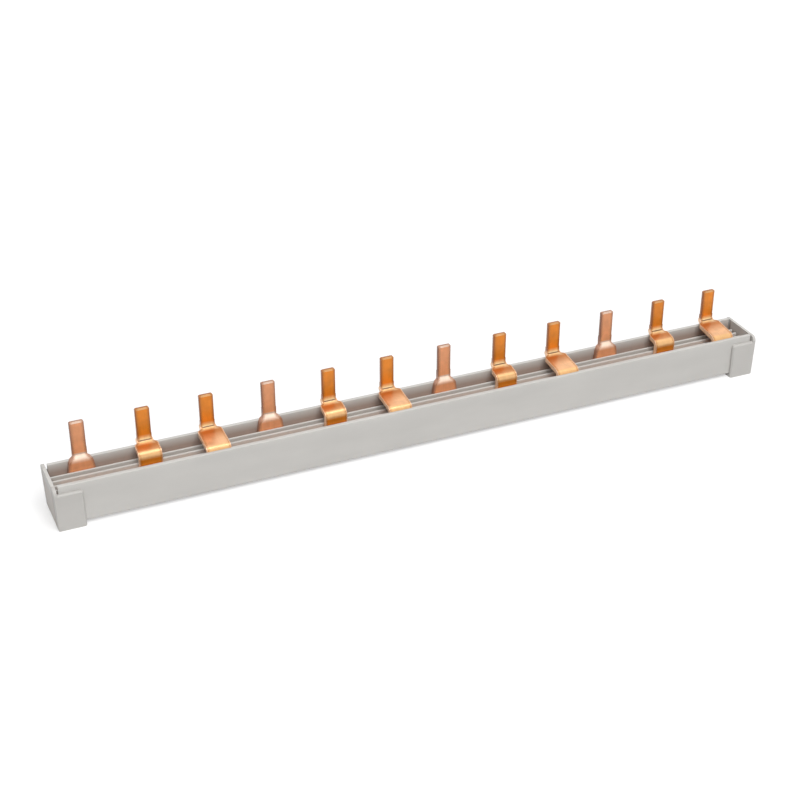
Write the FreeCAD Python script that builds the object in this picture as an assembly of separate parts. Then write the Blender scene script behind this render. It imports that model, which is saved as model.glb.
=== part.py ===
import FreeCAD, Part
import math
import os

# A comb busbar that feeds a row of circuit breakers from three phases.
# X runs along the strip, Y from its front wall to its back wall, Z up the pins.
# The origin lies under the middle of the strip, in the plane it rests on.
# All sizes are in millimetres.

# Breaker row: one pin for each module, and the phases take the pins in turn.
module_pitch = 17.8
module_count = 12

# Trough: an open plastic extrusion whose low dividers keep the phases apart.
end_trim = 0.15
wall = 1.0
wall_height = 12.05
floor = 0.9
slot_width = 1.7
divider = 0.55
divider_height = 9.3
wall_lip_radius = 0.2
divider_lip_radius = 0.12
trough_corner_radius = 0.4

# Copper sheet: each comb is stamped from one strip and bent.
sheet = 1.2
bar_height = 7.2
bar_end_recess = 1.5
front_bend_radius = 0.7
root_bend_radius = 0.6
bar_corner_radius = 0.8

# Tabs: the wide foot of each pin, as wide as each comb's own tool cuts it.
# Below its shoulders the rear tab still widens, at an angle in degrees.
rear_tab_width = 6.8
rear_tab_flare = 8.0
rear_shoulder_radius = 1.7
middle_tab_width = 6.5
front_tab_width = 6.9
shoulder_radius = 1.2
shoulder_setback = 0.4
neck_fillet = 0.5

# Neck: where the middle and front pins widen a little into their root bends.
neck_width = 4.6
neck_radius = 1.5

# Bend lines of the middle of the sheet, above the tops of the trough's walls.
bend_rise = 0.15
root_rise = 1.15

# Pins: flat blades in one row near the back wall.
pin_width = 4.0
pin_rise = 11.6
pin_row_inset = 0.95
pin_edge_radius = 0.3
tip_corner_radius = 0.6
tip_bevel_depth = 0.3
tip_bevel_height = 0.5

# End caps: a plate on the end of the trough, a flap on each wall and one below.
cap_wall = 1.0
cap_fit = 0.05
cap_end_gap = 0.2
flap_length = 7.6
flap_drop = 2.05
plate_drop = 0.4
plate_lean = 0.4
plate_front_radius = 1.6
plate_back_radius = 0.4
flap_corner_radius = 0.9
flap_bevel = 0.4
cap_edge_radius = 0.3

# Every comb by node name and tab width, from the rear slot to the front one.
# The first pin of each comb is one module further along than the last comb's.
combs = (
    ("rear_comb", rear_tab_width),
    ("middle_comb", middle_tab_width),
    ("front_comb", front_tab_width),
)

# Sizes that follow. An empty slot lies between each two combs.
slot_count = 2 * len(combs) - 1
slot_pitch = slot_width + divider
trough_depth = 2 * wall + slot_count * slot_width + (slot_count - 1) * divider
trough_length = module_pitch * module_count - 2 * end_trim
trough_bottom = cap_wall + cap_fit
wall_top = trough_bottom + wall_height
bar_bottom = trough_bottom + floor
bar_length = trough_length - 2 * bar_end_recess
pin_y = trough_depth / 2 - pin_row_inset
pin_front = pin_y - sheet / 2
pin_top = wall_top + pin_rise
bend_z = wall_top + bend_rise
root_z = wall_top + root_rise


def vector(x, y, z):
    return FreeCAD.Vector(x, y, z)


def block(x_range, y_range, z_range):
    """A box between two values along each axis."""
    low = vector(x_range[0], y_range[0], z_range[0])
    sizes = [high - start for start, high in (x_range, y_range, z_range)]
    return Part.makeBox(*sizes, low)


def rounded(solid, radius, wanted):
    """The solid with a fillet on each edge whose middle passes the test."""
    edges = [edge for edge in solid.Edges if wanted(edge.CenterOfMass, edge)]
    return solid.makeFillet(radius, edges)


def near(value, target):
    return abs(value - target) < 1e-4


def runs_along(edge, axis):
    """Whether a straight edge runs along the axis, 0 for X, 1 for Y, 2 for Z."""
    if not isinstance(edge.Curve, (Part.Line, Part.LineSegment)):
        return False
    start, end = (vertex.Point for vertex in edge.Vertexes)
    return near(abs((end - start).normalize()[axis]), 1)


def module_x(index):
    return (index - (module_count - 1) / 2) * module_pitch


def slot_y(index):
    """Middle of a slot, counted from the rear."""
    return trough_depth / 2 - wall - slot_width / 2 - index * slot_pitch


def trough():
    half_length = trough_length / 2
    half_depth = trough_depth / 2
    ends = (-half_length, half_length)
    body = block(ends, (-half_depth, half_depth), (trough_bottom, wall_top))
    divider_top = trough_bottom + divider_height
    inside = (wall - half_depth, half_depth - wall)
    body = body.cut(block(ends, inside, (divider_top, wall_top)))
    for index in range(slot_count):
        middle = slot_y(index)
        sides = (middle - slot_width / 2, middle + slot_width / 2)
        body = body.cut(block(ends, sides, (bar_bottom, divider_top)))

    def on_corner(point, edge):
        outside = near(abs(point.y), half_depth) and near(point.z, trough_bottom)
        return outside and runs_along(edge, 0)

    body = rounded(body, trough_corner_radius, on_corner)
    body = rounded(body, wall_lip_radius,
                   lambda point, edge: near(point.z, wall_top) and runs_along(edge, 0))

    def on_divider(point, edge):
        on_wall = near(abs(point.y), half_depth - wall)
        return near(point.z, divider_top) and runs_along(edge, 0) and not on_wall

    return rounded(body, divider_lip_radius, on_divider)


def strip_side(path, radii, side):
    """One side of a bent sheet, as edges in the YZ plane.

    The path holds the corners of the sheet's middle line. Each bend keeps its
    inner radius, so both sides turn about the same centre.
    """
    offset = side * sheet / 2
    edges = []
    start = None
    for index in range(len(path) - 1):
        along = (path[index + 1] - path[index]).normalize()
        across = vector(0, -along.z, along.y)
        if start is None:
            start = path[0] + across * offset
        if index + 2 == len(path):
            end = path[-1] + across * offset
            edges.append(Part.LineSegment(start, end).toShape())
            break
        after = (path[index + 2] - path[index + 1]).normalize()
        turn = math.atan2(along.y * after.z - along.z * after.y, along.dot(after))
        middle_radius = radii[index] + sheet / 2
        tangent = middle_radius * math.tan(abs(turn) / 2)
        towards = math.copysign(1, turn)
        centre = path[index + 1] - along * tangent + across * towards * middle_radius
        arm = across * (offset - towards * middle_radius)
        bends = [centre + turned(arm, turn * share) for share in (0, 0.5, 1)]
        edges.append(Part.LineSegment(start, bends[0]).toShape())
        edges.append(Part.Arc(*bends).toShape())
        start = bends[2]
    return edges


def turned(arm, angle):
    """A vector in the YZ plane, turned about X."""
    cosine, sine = math.cos(angle), math.sin(angle)
    return vector(0, arm.y * cosine - arm.z * sine, arm.y * sine + arm.z * cosine)


def bent_sheet(path, radii, width):
    """The bent strip, as wide along X as told."""
    left = strip_side(path, radii, 1)
    right = strip_side(path, radii, -1)
    foot = [edges[0].Vertexes[0].Point for edges in (left, right)]
    tip = [edges[-1].Vertexes[-1].Point for edges in (left, right)]
    lines = [Part.LineSegment(foot[0], foot[1]).toShape(),
             Part.LineSegment(tip[0], tip[1]).toShape()]
    outline = Part.Wire(Part.__sortEdges__(left + right + lines))
    sheet_face = Part.Face(outline)
    sheet_face.translate(vector(-width / 2, 0, 0))
    return sheet_face.extrude(vector(width, 0, 0))


def shouldered_face(width, flare, radius, neck, foot, root, end, place):
    """A wide foot that narrows over rounded shoulders to its neck.

    The neck begins at the root. Below the shoulders the sides spread at the
    flare angle. Place turns a distance along X and one up the outline into a point.
    """
    half = width / 2
    half_neck = neck / 2
    both = radius + neck_fillet
    swing = math.acos((half_neck + neck_fillet - half + radius * math.cos(flare)) / both)
    turn_x = half - radius * math.cos(flare)
    turn_up = root - both * math.sin(swing)
    fillet_x = half_neck + neck_fillet

    def on_shoulder(angle):
        return place(turn_x + radius * math.cos(angle), turn_up + radius * math.sin(angle))

    def on_fillet(angle):
        return place(fillet_x - neck_fillet * math.cos(angle),
                     root - neck_fillet * math.sin(angle))

    shoulder = turn_up + radius * math.sin(flare)
    foot_x = half + (shoulder - foot) * math.tan(flare)
    right = [
        Part.LineSegment(place(foot_x, foot), on_shoulder(flare)),
        Part.Arc(*[on_shoulder(angle) for angle in (flare, (flare + swing) / 2, swing)]),
        Part.Arc(*[on_fillet(angle) for angle in (swing, swing / 2, 0)]),
        Part.LineSegment(on_fillet(0), place(half_neck, end)),
    ]
    edges = [curve.toShape() for curve in right]
    mirror = [edge.mirror(vector(0, 0, 0), vector(1, 0, 0)) for edge in edges]
    ends = [Part.LineSegment(place(-foot_x, foot), place(foot_x, foot)).toShape(),
            Part.LineSegment(place(-half_neck, end), place(half_neck, end)).toShape()]
    return Part.Face(Part.Wire(Part.__sortEdges__(edges + mirror + ends)))


def side_face(x, points):
    """A flat face across X from its corners, each a pair of Y and Z."""
    corners = [vector(x, y, z) for y, z in points]
    return Part.Face(Part.makePolygon(corners + corners[:1]))


def pin_blade(foot):
    """The pin above its foot: rounded edges, rounded corners, bevelled tip."""
    half = pin_width / 2
    back = pin_front + sheet
    blank = block((-half, half), (pin_front, back), (foot, pin_top))
    blade = rounded(blank, pin_edge_radius, lambda point, edge: runs_along(edge, 2))
    outline = rounded(blank, tip_corner_radius,
                      lambda point, edge: near(point.z, pin_top) and runs_along(edge, 1))
    bevel_start = pin_top - tip_bevel_height
    profile = side_face(-half, ((pin_front, foot), (pin_front, bevel_start),
                                (pin_front + tip_bevel_depth, pin_top),
                                (back - tip_bevel_depth, pin_top),
                                (back, bevel_start), (back, foot)))
    return blade.common(outline).common(profile.extrude(vector(pin_width, 0, 0)))


def neck_trim(side, start, end):
    """What lies beside a neck as it narrows upwards to the width of the pin."""
    half = pin_width / 2
    spread = (neck_width - pin_width) / 2
    swing = math.acos(1 - spread / neck_radius)
    centre = half + neck_radius
    top = start + neck_radius * math.sin(swing)
    curve = [vector(side * (centre - neck_radius * math.cos(angle)), 0,
                    top - neck_radius * math.sin(angle)) for angle in (swing, swing / 2, 0)]
    corners = [curve[2], vector(side * half, 0, end), vector(side * centre, 0, end),
               vector(side * centre, 0, start), curve[0]]
    lines = [Part.LineSegment(first, second).toShape()
             for first, second in zip(corners, corners[1:])]
    outline = Part.Wire(Part.__sortEdges__([Part.Arc(*curve).toShape()] + lines))
    return Part.Face(outline).extrude(vector(0, trough_depth, 0))


def tab(slot, width):
    """One tab and its pin, over X = 0, rising from the bar in a slot."""
    bar_y = slot_y(slot)
    pin_foot = root_z + 2 * sheet
    path = [vector(0, bar_y, bar_bottom), vector(0, bar_y, bend_z),
            vector(0, pin_y, root_z), vector(0, pin_y, pin_foot)]
    step_back = pin_y - bar_y
    strip = bent_sheet(path, (front_bend_radius, root_bend_radius), 2 * width)
    if step_back < sheet:
        # The sheet has no shelf that shoulders could lie on, so they stand upright.
        outline = shouldered_face(width, math.radians(rear_tab_flare), rear_shoulder_radius,
                                  pin_width, bar_bottom, root_z, pin_top,
                                  lambda across, up: vector(across, -trough_depth, up))
        foot = strip.common(outline.extrude(vector(0, 2 * trough_depth, 0)))
    else:
        outline = shouldered_face(width, 0, shoulder_radius, neck_width, -trough_depth,
                                  pin_front - shoulder_setback, trough_depth,
                                  lambda across, back: vector(across, back, 0))
        foot = strip.common(outline.extrude(vector(0, 0, pin_top)))
        neck_start = root_z + sheet / 2
        for side in (-1, 1):
            foot = foot.cut(neck_trim(side, neck_start, pin_foot))
    return foot.fuse(pin_blade(pin_foot))


def comb(slot, first_module, width):
    bar_y = slot_y(slot)
    half = bar_length / 2
    bar_top = bar_bottom + bar_height
    body = block((-half, half), (bar_y - sheet / 2, bar_y + sheet / 2), (bar_bottom, bar_top))
    one_tab = tab(slot, width)
    tabs = []
    for index in range(first_module, module_count, len(combs)):
        copy = one_tab.copy()
        copy.translate(vector(module_x(index), 0, 0))
        tabs.append(copy)
    body = body.fuse(tabs).removeSplitter().Solids[0]

    def beside_tab(point, edge):
        at_end = near(abs(point.x), half)
        return near(point.z, bar_top) and runs_along(edge, 1) and not at_end

    return rounded(body, bar_corner_radius, beside_tab)


def end_cap(side):
    """The cap on the end of the trough that lies towards side times X."""
    plate_inside = trough_length / 2 + cap_end_gap
    outside = plate_inside + cap_wall
    flap_end = outside - flap_length
    inner_half = trough_depth / 2 + cap_fit
    outer_half = inner_half + cap_wall
    flap_top = wall_top - flap_drop
    plate_top = wall_top - plate_drop

    def up_to(face_x, half, low):
        """A block from the flaps' ends to a leaning face, and from low to the top."""
        corners = [vector(x, -half, z) for x, z in (
            (flap_end, low), (face_x + plate_lean * low / plate_top, low),
            (face_x + plate_lean, plate_top), (flap_end, plate_top), (flap_end, low))]
        return Part.Face(Part.makePolygon(corners)).extrude(vector(0, 2 * half, 0))

    body = up_to(outside, outer_half, 0)
    body = body.cut(up_to(plate_inside, inner_half, cap_wall))
    body = body.cut(up_to(plate_inside, outer_half, flap_top))

    def plate_corner(front):
        def wanted(point, edge):
            on_top = near(point.z, plate_top) and runs_along(edge, 0)
            return on_top and near(abs(point.y), outer_half) and (point.y < 0) == front
        return wanted

    body = rounded(body, plate_front_radius, plate_corner(True))
    body = rounded(body, plate_back_radius, plate_corner(False))

    def on_flap_corner(point, edge):
        return near(point.x, flap_end) and near(point.z, flap_top) and runs_along(edge, 1)

    body = rounded(body, flap_corner_radius, on_flap_corner)
    free_edges = []
    for edge in body.Edges:
        point = edge.CenterOfMass
        upright = near(point.x, flap_end) and runs_along(edge, 2)
        level = near(point.z, flap_top) and runs_along(edge, 0)
        if near(abs(point.y), outer_half) and (upright or level):
            free_edges.append(edge)
    body = body.makeChamfer(flap_bevel, free_edges)

    def on_outer_edge(point, edge):
        leaning = near(abs(point.y), outer_half) and point.x > outside
        underside = near(point.x, outside) and near(point.z, 0)
        return (leaning and not runs_along(edge, 0)) or (underside and runs_along(edge, 1))

    body = rounded(body, cap_edge_radius, on_outer_edge)
    if side < 0:
        body = body.mirror(vector(0, 0, 0), vector(1, 0, 0))
    return body


os.makedirs("parts", exist_ok=True)
trough().exportStep("parts/trough.step")
for order, (name, tab_width) in enumerate(combs):
    comb(2 * order, order, tab_width).exportStep("parts/" + name + ".step")
end_cap(-1).exportStep("parts/left_end_cap.step")
end_cap(1).exportStep("parts/right_end_cap.step")
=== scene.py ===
"""The looks of the comb busbar: a grey plastic trough with copper combs in it.

X runs along the strip, Y from its front wall to its back wall, Z up the pins.
Lengths are in metres, but the materials tell their zones apart in millimetres.
"""

import math

import bpy
from mathutils import Matrix, Vector

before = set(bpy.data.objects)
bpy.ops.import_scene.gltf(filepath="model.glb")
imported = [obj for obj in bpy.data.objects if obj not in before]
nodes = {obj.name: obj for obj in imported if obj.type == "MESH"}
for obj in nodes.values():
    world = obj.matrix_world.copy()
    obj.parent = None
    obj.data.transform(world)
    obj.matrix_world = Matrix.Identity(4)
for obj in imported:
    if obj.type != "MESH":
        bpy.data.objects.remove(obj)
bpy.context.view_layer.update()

MM = 0.001

# The photograph's view: where the camera stands and how it is turned.
CAMERA_PLACE = Vector((-0.16487, -0.36254, 0.24237))
CAMERA_AZIMUTH = math.radians(-23.52)
CAMERA_ELEVATION = math.radians(30.12)
CAMERA_ROLL = math.radians(0.07)
CAMERA_LENS = 72.495
CAMERA_SENSOR = 36.0
CAMERA_NEAR = 0.01
CAMERA_FAR = 20.0

# Each lamp: where it stands, how wide it is, its power, and whether mirrors show it.
# The key gives the form its plain light, the crown draws the bends' highlights, and
# the fill lightens the back.
LAMPS = {
    "key": ((-0.15, -0.88, 1.02), 0.9, 13.5, False),
    "crown": ((0.20, -0.32, 1.05), 0.5, 2.8, True),
    "fill": ((0.10, 0.95, 0.28), 0.5, 2.8, False),
}

# The room. A strength of 1 in the camera's view is white. The ceiling, which mirrors
# show, fades in with the height of the gaze and changes from its front to its back.
ROOM_LEVEL = 0.32
ROOM_SEEN = 1.0
CEILING_FRONT = 0.52
CEILING_BACK = 0.96
CEILING_RISE = (0.25, 0.5)
CEILING_DEPTH = (-0.5, 0.4)

# The floor. Its lift grows between two distances from the object, in millimetres.
FLOOR_HALF_WIDTH = 3.0
FLOOR_COLOUR = (0.62, 0.62, 0.62)
FLOOR_LIFT = 0.42
FLOOR_LIFT_FAR = 0.92
FLOOR_LIFT_RANGE = (180.0, 1200.0)

# Base colours of the plastic, as the photograph shows them under plain light.
PLASTIC = (0.540, 0.526, 0.502)
CAP_PLASTIC = (0.505, 0.490, 0.467)
# The colours for the inside and the slots are painted shade, warmed by a painted reflection
# of the copper.
PLASTIC_INSIDE_SHADE = (0.36, 0.29, 0.25)
PLASTIC_SLOT_SHADE = (0.53, 0.485, 0.445)

# Zones of the plastic. Each one fades in from its first number to its second. Aside is
# the distance from the strip's middle plane; the others are heights.
# The wall zones place painted shade on the inner faces of the walls, the zones of the slots
# place it in the slots, and the top zones place painted highlights.
WALL_ASIDE = (4.7, 5.0)
WALL_ASIDE_END = (5.6, 5.4)
WALL_DEPTH = (13.0, 10.4)
WALL_TOP = (11.6, 12.9)
SLOTS_ASIDE = (4.9, 4.7)
SLOT_DEPTH = (10.2, 9.9)
DIVIDER_TOP = (9.9, 10.2)
# The tops of the walls and of the dividers are made paler as a painted highlight.
WALL_TOP_HIGHLIGHT = 1.07
DIVIDER_TOP_HIGHLIGHT = 1.13
SLOT_SHADE_SHARE = 0.9

# The patterns: how often each one changes in a millimetre along each axis, and the span
# of the noise that is used.
MOTTLE = (0.04, 0.15, 0.15)
DIE_LINES = (0.02, 3.0, 3.0)
GRAIN = (6.0, 6.0, 6.0)
STREAKS = (9.0, 0.12, 0.12)
CLOUDS = (0.5, 0.5, 0.5)
MOTTLE_SPAN = (0.35, 0.65)
NOISE_SPAN = (0.3, 0.7)
BUMP_DEPTH = 0.02

# The finish of the plastic.
MOTTLE_SHADE = (0.97, 1.03)
PLASTIC_ROUGHNESS = (0.42, 0.52)
PLASTIC_BUMP = 0.12

# Zones of the copper, in the same way. Level and bent go by how far a face looks up or
# down; the painted dark reflection along the edges and the sheared edges go by how far an
# edge of this radius would look sideways. The front of the shelves goes by Y, and the
# others are heights.
LEVEL = (0.90, 0.975)
BENT = (0.10, 0.50)
EDGE_REFLECTION_ZONE = (0.02, 0.16)
SHEARED = (0.42, 0.70)
EDGE_RADIUS = 1.2
EDGE_SAMPLES = 8
SHELF_FRONT = (2.0, -1.5)
PIN_FOOT = (20.5, 17.5)
PIN_CUT = (14.9, 15.8)
TIP = (24.05, 24.35)
TIP_TOP = (24.3, 24.65)
# The pins are made paler towards their feet as a painted reflection of the bright bends and
# shelves.
PIN_FOOT_REFLECTION = 1.22
# These shares darken the edges with a painted dark reflection and the tips with painted
# shade.
EDGE_REFLECTION_SHARE = 0.85
TIP_SHADE_SHARE = 0.4
TIP_TOP_SHARE = 0.55

# The inner corner of the root bends: its place, the ranges of distance over which its
# painted highlight and its thin line of painted shade fade in, and how dark the line is.
CREASE_Y = 4.62
CREASE_Z = 14.86
ROOT_HIGHLIGHT_FADE = (1.8, 0.6)
CREASE_LINE = (0.26, 0.12)
CREASE_SHADE = 0.4

# The finish of the copper: streaks across the pins, broad clouds, and a clear coat.
STREAK_SHADE = (0.94, 1.04)
STREAK_ROUGHNESS = (-0.03, 0.04)
CLOUD_SHADE = (0.90, 1.05)
SOFT_METALLIC = 0.60
COPPER_BUMP = 0.08
COAT = 0.35
COAT_ROUGHNESS = 0.15
COAT_IOR = 1.45

# The two sheets. The colours are those of upright faces, of the stretched surface of the
# bends with a painted highlight, of the painted highlight in the inner corner of the root
# bends, of level faces by that corner and away from it, which are painted reflections, of
# the painted dark reflection along each edge, and of the sheared edges of tabs and pins,
# painted with light and shade. Metallic and roughness are given for upright and for level
# faces. The colour of the bends' surface and highlight fades in and out over two ranges of
# height. The last entry is the strength of the line of painted shade in the inner corner.
BRIGHT_SHEET = {
    "upright": (0.77, 0.240, 0.017),
    "skin_and_highlight": (0.94, 0.55, 0.24),
    "root": (1.00, 0.74, 0.41),
    "level": (0.63, 0.22, 0.05),
    "pale_reflection": (1.00, 0.56, 0.29),
    "edge_dark_reflection": (0.46, 0.15, 0.03),
    "tab_cut_painted_light": (1.00, 0.66, 0.42),
    "pin_cut_painted_shade": (0.34, 0.115, 0.03),
    "metallic": (0.60, 0.72),
    "roughness": (0.32, 0.36),
    "skin_highlight_start": (11.7, 12.5),
    "skin_highlight_end": (16.6, 15.2),
    "painted_crease_shade": 0.95,
}
DULL_SHEET = {
    "upright": (0.77, 0.33, 0.155),
    "skin_and_highlight": (1.00, 0.80, 0.65),
    "root": (1.00, 0.78, 0.62),
    "level": (0.78, 0.40, 0.24),
    "pale_reflection": (0.78, 0.40, 0.24),
    "edge_dark_reflection": (0.46, 0.20, 0.11),
    "tab_cut_painted_light": (0.42, 0.20, 0.12),
    "pin_cut_painted_shade": (0.27, 0.12, 0.07),
    "metallic": (0.40, 0.60),
    "roughness": (0.42, 0.35),
    "skin_highlight_start": (12.4, 14.0),
    "skin_highlight_end": (15.2, 14.7),
    "painted_crease_shade": 0.55,
}


def shaded(colour, factor):
    return tuple(channel * factor for channel in colour)


def opaque(colour):
    """A written colour with its alpha. A socket stays as it is."""
    return colour if isinstance(colour, bpy.types.NodeSocket) else (*colour, 1.0)


class Graph:
    """A small helper that adds nodes to a material or the world and joins them."""

    def __init__(self, owner, output="ShaderNodeOutputMaterial"):
        owner.use_nodes = True
        self.owner = owner
        self.tree = owner.node_tree
        self.tree.nodes.clear()
        self.output = self.tree.nodes.new(output)

    def add(self, kind, values=None, **settings):
        node = self.tree.nodes.new(kind)
        for key, value in settings.items():
            setattr(node, key, value)
        for key, value in (values or {}).items():
            if isinstance(value, bpy.types.NodeSocket):
                self.tree.links.new(value, node.inputs[key])
            else:
                node.inputs[key].default_value = value
        return node

    def show(self, shader):
        self.tree.links.new(shader, self.output.inputs["Surface"])
        return self.owner

    def place(self, stretch=(1.0, 1.0, 1.0)):
        """The part's own coordinates in millimetres, stretched along each axis."""
        source = self.add("ShaderNodeTexCoord").outputs["Object"]
        scale = tuple(factor / MM for factor in stretch)
        mapping = self.add("ShaderNodeMapping", {"Vector": source, "Scale": scale})
        return mapping.outputs["Vector"]

    def split(self, vector):
        parts = self.add("ShaderNodeSeparateXYZ", {"Vector": vector}).outputs
        return parts["X"], parts["Y"], parts["Z"]

    def noise(self, stretch, detail, roughness=0.5):
        node = self.add("ShaderNodeTexNoise", {
            "Vector": self.place(stretch), "Scale": 1.0, "Detail": detail,
            "Roughness": roughness})
        return node.outputs["Fac"]

    def math(self, operation, *values):
        inputs = dict(enumerate(values))
        return self.add("ShaderNodeMath", inputs, operation=operation).outputs[0]

    def spread(self, value, zone, result=(0.0, 1.0)):
        """The value taken from a zone to a range of results and held there."""
        node = self.add("ShaderNodeMapRange", {
            "Value": value, "From Min": zone[0], "From Max": zone[1],
            "To Min": result[0], "To Max": result[1]})
        return node.outputs["Result"]

    def between(self, factor, first, second):
        """A number between two numbers."""
        return self.spread(factor, (0.0, 1.0), (first, second))

    def blend(self, factor, first, second):
        """A colour between two colours."""
        inputs = {0: factor, 6: opaque(first), 7: opaque(second)}
        return self.add("ShaderNodeMix", inputs, data_type="RGBA").outputs[2]

    def scaled(self, colour, factor):
        inputs = {0: colour, "Scale": factor}
        node = self.add("ShaderNodeVectorMath", inputs, operation="SCALE")
        return node.outputs["Vector"]

    def bump(self, height, strength):
        node = self.add("ShaderNodeBump", {
            "Height": height, "Strength": strength, "Distance": BUMP_DEPTH * MM})
        return node.outputs["Normal"]

    def seen_or_mirrored(self):
        """One where a ray comes from the camera, a mirror or glass, else nought."""
        path = self.add("ShaderNodeLightPath").outputs
        seen = self.math("MAXIMUM", path["Is Camera Ray"], path["Is Glossy Ray"])
        return self.math("MAXIMUM", seen, path["Is Transmission Ray"])


def plastic_material(name, grey):
    """Satin PVC: soft mottling, fine die lines along the strip, a fine grain.

    It has a painted highlight along the top edges of the walls and dividers, and painted
    shade in the slots and low on the inner faces of the walls, where the shade is also
    warmed by a painted reflection of the copper next to them.
    """
    graph = Graph(bpy.data.materials.new(name))
    across, up = graph.split(graph.place())[1:]
    aside = graph.math("ABSOLUTE", across)

    mottle = graph.spread(graph.noise(MOTTLE, detail=3.0), MOTTLE_SPAN)
    colour = graph.blend(mottle, *(shaded(grey, factor) for factor in MOTTLE_SHADE))
    # Painted shade, warmed like a reflection of the copper, low on the inner faces of the
    # walls.
    inner = graph.math("MULTIPLY", graph.spread(aside, WALL_ASIDE),
                       graph.spread(aside, WALL_ASIDE_END))
    inside_shade = graph.math("MULTIPLY", inner, graph.spread(up, WALL_DEPTH))
    colour = graph.blend(inside_shade, colour, PLASTIC_INSIDE_SHADE)
    # Painted highlight along the tops of the walls.
    colour = graph.scaled(colour, graph.spread(up, WALL_TOP, (1.0, WALL_TOP_HIGHLIGHT)))

    slots = graph.spread(aside, SLOTS_ASIDE)
    # Painted highlight on the tops of the dividers.
    divider_highlight = graph.spread(up, DIVIDER_TOP, (1.0, DIVIDER_TOP_HIGHLIGHT))
    colour = graph.scaled(colour, graph.between(slots, 1.0, divider_highlight))
    # Painted shade, warmed like a reflection of the copper, in the slots below the divider
    # tops.
    slot_shade = graph.math("MULTIPLY", slots, graph.spread(up, SLOT_DEPTH, (0.0, SLOT_SHADE_SHARE)))
    colour = graph.blend(slot_shade, colour, PLASTIC_SLOT_SHADE)

    lines = graph.noise(DIE_LINES, detail=4.0)
    grain = graph.noise(GRAIN, detail=2.0)
    shader = graph.add("ShaderNodeBsdfPrincipled", {
        "Base Color": colour,
        "Roughness": graph.spread(grain, NOISE_SPAN, PLASTIC_ROUGHNESS),
        "Normal": graph.bump(graph.math("ADD", lines, grain), PLASTIC_BUMP),
    })
    return graph.show(shader.outputs["BSDF"])


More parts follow.
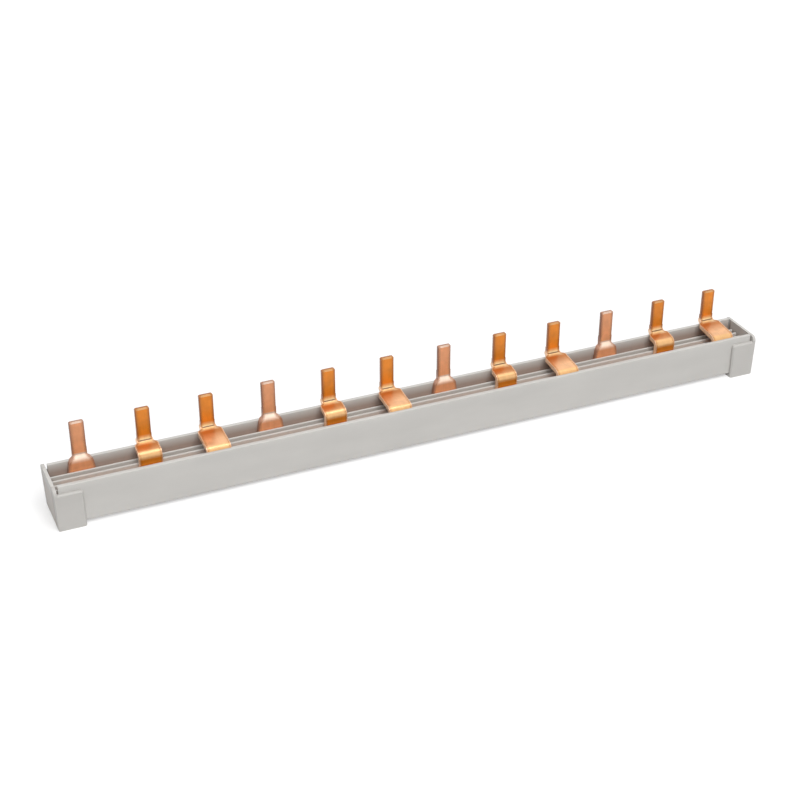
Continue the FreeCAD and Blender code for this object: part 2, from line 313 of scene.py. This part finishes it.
def copper_material(name, sheet):
    """Rolled copper whose faces, stretched bends and sheared edges differ.

    The pins take a painted reflection that makes them paler towards their feet and painted
    shade that makes them darker at their tips, and a thin line of painted shade lies in the
    inner corner of the root bends. The bends, that corner and the level faces carry painted
    highlights and painted reflections, and the sheared edges painted light and shade.
    """
    graph = Graph(bpy.data.materials.new(name))
    coordinates = graph.add("ShaderNodeTexCoord")
    steep = graph.math("ABSOLUTE", graph.split(coordinates.outputs["Normal"])[2])
    across, up = graph.split(graph.place())[1:]

    level = graph.spread(steep, LEVEL)
    # A paler stretched surface on the bends with a painted highlight, held over a range of
    # heights.
    skin_highlight_end = graph.spread(up, sheet["skin_highlight_end"])
    skin_and_highlight = graph.math("MULTIPLY", graph.spread(up, sheet["skin_highlight_start"]), skin_highlight_end)
    bent = graph.math("MAXIMUM", graph.spread(steep, BENT), skin_and_highlight)
    # Painted reflection: the pins are paler towards their feet.
    face = graph.scaled(sheet["upright"], graph.spread(up, PIN_FOOT, (1.0, PIN_FOOT_REFLECTION)))
    colour = graph.blend(bent, face, sheet["skin_and_highlight"])
    # Painted reflections on the level faces: a colour of their own, paler towards the front
    # of the shelves.
    shelf = graph.blend(graph.spread(across, SHELF_FRONT), sheet["level"], sheet["pale_reflection"])
    colour = graph.blend(level, colour, shelf)
    # Painted shade at the tips of the pins, in the colour of the edges' painted dark
    # reflection.
    colour = graph.blend(graph.spread(up, TIP, (0.0, TIP_SHADE_SHARE)), colour, sheet["edge_dark_reflection"])
    # The top faces of the tips take the pins' sheared-edge colour, with its painted shade.
    tip_top = graph.math("MULTIPLY", level, graph.spread(up, TIP_TOP, (0.0, TIP_TOP_SHARE)))
    colour = graph.blend(tip_top, colour, sheet["pin_cut_painted_shade"])

    from_y = graph.math("SUBTRACT", across, CREASE_Y)
    from_z = graph.math("SUBTRACT", up, CREASE_Z)
    away = graph.math("SQRT", graph.math("ADD", graph.math("MULTIPLY", from_y, from_y),
                                         graph.math("MULTIPLY", from_z, from_z)))
    # Painted highlight in the inner corner of the root bends.
    root_highlight = graph.math("MULTIPLY", skin_highlight_end, graph.spread(away, ROOT_HIGHLIGHT_FADE))
    colour = graph.blend(root_highlight, colour, sheet["root"])
    # A thin line of painted shade in that corner.
    painted_crease_shade = graph.spread(away, CREASE_LINE, (0.0, sheet["painted_crease_shade"]))
    colour = graph.blend(painted_crease_shade, colour, shaded(sheet["pin_cut_painted_shade"], CREASE_SHADE))

    streaks = graph.noise(STREAKS, detail=4.0, roughness=0.6)
    clouds = graph.noise(CLOUDS, detail=3.0)
    shade = graph.math("MULTIPLY", graph.spread(streaks, NOISE_SPAN, STREAK_SHADE),
                       graph.spread(clouds, NOISE_SPAN, CLOUD_SHADE))
    colour = graph.scaled(colour, shade)

    bevel = graph.add("ShaderNodeBevel", {"Radius": EDGE_RADIUS * MM},
                      samples=EDGE_SAMPLES)
    sideways = graph.math("ABSOLUTE", graph.split(bevel.outputs["Normal"])[0])
    # Painted dark reflection along each rounded edge.
    edge_reflection_mask = graph.spread(sideways, EDGE_REFLECTION_ZONE, (0.0, EDGE_REFLECTION_SHARE))
    colour = graph.blend(edge_reflection_mask, colour, sheet["edge_dark_reflection"])
    # The sheared edges are painted with light and shade: a colour of their own on the tabs,
    # darker on the pins.
    sheared = graph.spread(sideways, SHEARED)
    cut = graph.blend(graph.spread(up, PIN_CUT), sheet["tab_cut_painted_light"], sheet["pin_cut_painted_shade"])
    colour = graph.blend(sheared, colour, cut)

    soft = graph.math("MAXIMUM", graph.between(level, bent, 0.0), root_highlight)
    soft = graph.math("MAXIMUM", soft, sheared)
    shader = graph.add("ShaderNodeBsdfPrincipled", {
        "Base Color": colour,
        "Metallic": graph.math("MULTIPLY", graph.between(level, *sheet["metallic"]),
                               graph.between(soft, 1.0, SOFT_METALLIC)),
        "Roughness": graph.math("ADD", graph.between(level, *sheet["roughness"]),
                                graph.spread(streaks, NOISE_SPAN, STREAK_ROUGHNESS)),
        "Normal": graph.bump(streaks, COPPER_BUMP),
        "Coat Weight": COAT,
        "Coat Roughness": COAT_ROUGHNESS,
        "Coat IOR": COAT_IOR,
    })
    return graph.show(shader.outputs["BSDF"])


def dress(material, *names):
    for name in names:
        mesh = nodes[name].data
        mesh.materials.clear()
        mesh.materials.append(material)


def floor_material():
    """A pale floor that looks white and keeps the object's shadow.

    Away from the object, where less light falls, it is lifted more.
    """
    graph = Graph(bpy.data.materials.new("pale_floor"))
    matt = graph.add("ShaderNodeBsdfDiffuse", {"Color": opaque(FLOOR_COLOUR)})
    away = graph.add("ShaderNodeVectorMath", {0: graph.place((1.0, 1.0, 0.0))},
                     operation="LENGTH").outputs["Value"]
    lift = graph.spread(away, FLOOR_LIFT_RANGE, (FLOOR_LIFT, FLOOR_LIFT_FAR))
    lift = graph.math("MULTIPLY", graph.seen_or_mirrored(), lift)
    glow = graph.add("ShaderNodeEmission", {"Strength": lift})
    both = graph.add("ShaderNodeAddShader", {0: matt.outputs[0], 1: glow.outputs[0]})
    return graph.show(both.outputs[0])


def floor():
    half = FLOOR_HALF_WIDTH
    corners = [(-half, -half, 0), (half, -half, 0), (half, half, 0), (-half, half, 0)]
    mesh = bpy.data.meshes.new("floor")
    mesh.from_pydata(corners, [], [(0, 1, 2, 3)])
    mesh.materials.append(floor_material())
    piece = bpy.data.objects.new("floor", mesh)
    bpy.context.scene.collection.objects.link(piece)


def room():
    """White walls where the camera or a mirror sees them, and plain light all round.

    In a mirror the ceiling is dimmer towards the front than towards the back.
    """
    world = bpy.data.worlds.new("room")
    bpy.context.scene.world = world
    graph = Graph(world, "ShaderNodeOutputWorld")
    toward = graph.add("ShaderNodeTexCoord").outputs["Generated"]
    across, up = graph.split(toward)[1:]
    ceiling = graph.spread(across, CEILING_DEPTH, (CEILING_FRONT, CEILING_BACK))
    change = graph.math("MULTIPLY", graph.spread(up, CEILING_RISE),
                        graph.math("SUBTRACT", ceiling, ROOM_SEEN))
    seen = graph.math("ADD", ROOM_SEEN, change)
    more = graph.math("MULTIPLY", graph.seen_or_mirrored(),
                      graph.math("SUBTRACT", seen, ROOM_LEVEL))
    strength = graph.math("ADD", more, ROOM_LEVEL)
    white = opaque((1.0, 1.0, 1.0))
    shade = graph.add("ShaderNodeBackground", {"Color": white, "Strength": strength})
    graph.show(shade.outputs[0])


def softbox(name, place, size, power, mirrored):
    """A square lamp that faces the middle of the strip."""
    light = bpy.data.lights.new(name, "AREA")
    light.size = size
    light.energy = power
    lamp = bpy.data.objects.new(name, light)
    lamp.location = place
    lamp.rotation_euler = (-Vector(place)).to_track_quat("-Z", "Y").to_euler()
    lamp.visible_glossy = mirrored
    bpy.context.scene.collection.objects.link(lamp)


def camera():
    sight = bpy.data.cameras.new("camera")
    sight.lens = CAMERA_LENS
    sight.sensor_width = CAMERA_SENSOR
    sight.clip_start = CAMERA_NEAR
    sight.clip_end = CAMERA_FAR
    back = Vector((math.sin(CAMERA_AZIMUTH) * math.cos(CAMERA_ELEVATION),
                   -math.cos(CAMERA_AZIMUTH) * math.cos(CAMERA_ELEVATION),
                   math.sin(CAMERA_ELEVATION)))
    right = (-back).cross(Vector((0, 0, 1))).normalized()
    up = right.cross(-back)
    cosine, sine = math.cos(CAMERA_ROLL), math.sin(CAMERA_ROLL)
    axes = (right * cosine + up * sine, up * cosine - right * sine, back)
    turn = Matrix(axes).transposed().to_4x4()
    piece = bpy.data.objects.new("camera", sight)
    piece.matrix_world = Matrix.Translation(CAMERA_PLACE) @ turn
    bpy.context.scene.collection.objects.link(piece)
    bpy.context.scene.camera = piece


dress(plastic_material("grey_pvc", PLASTIC), "trough")
dress(plastic_material("grey_cap_plastic", CAP_PLASTIC), "left_end_cap", "right_end_cap")
dress(copper_material("bright_copper_sheet", BRIGHT_SHEET), "middle_comb", "front_comb")
dress(copper_material("dull_copper_sheet", DULL_SHEET), "rear_comb")
floor()
room()
for lamp_name, settings in LAMPS.items():
    softbox(lamp_name, *settings)
camera()
bpy.context.scene.view_settings.view_transform = "Standard"
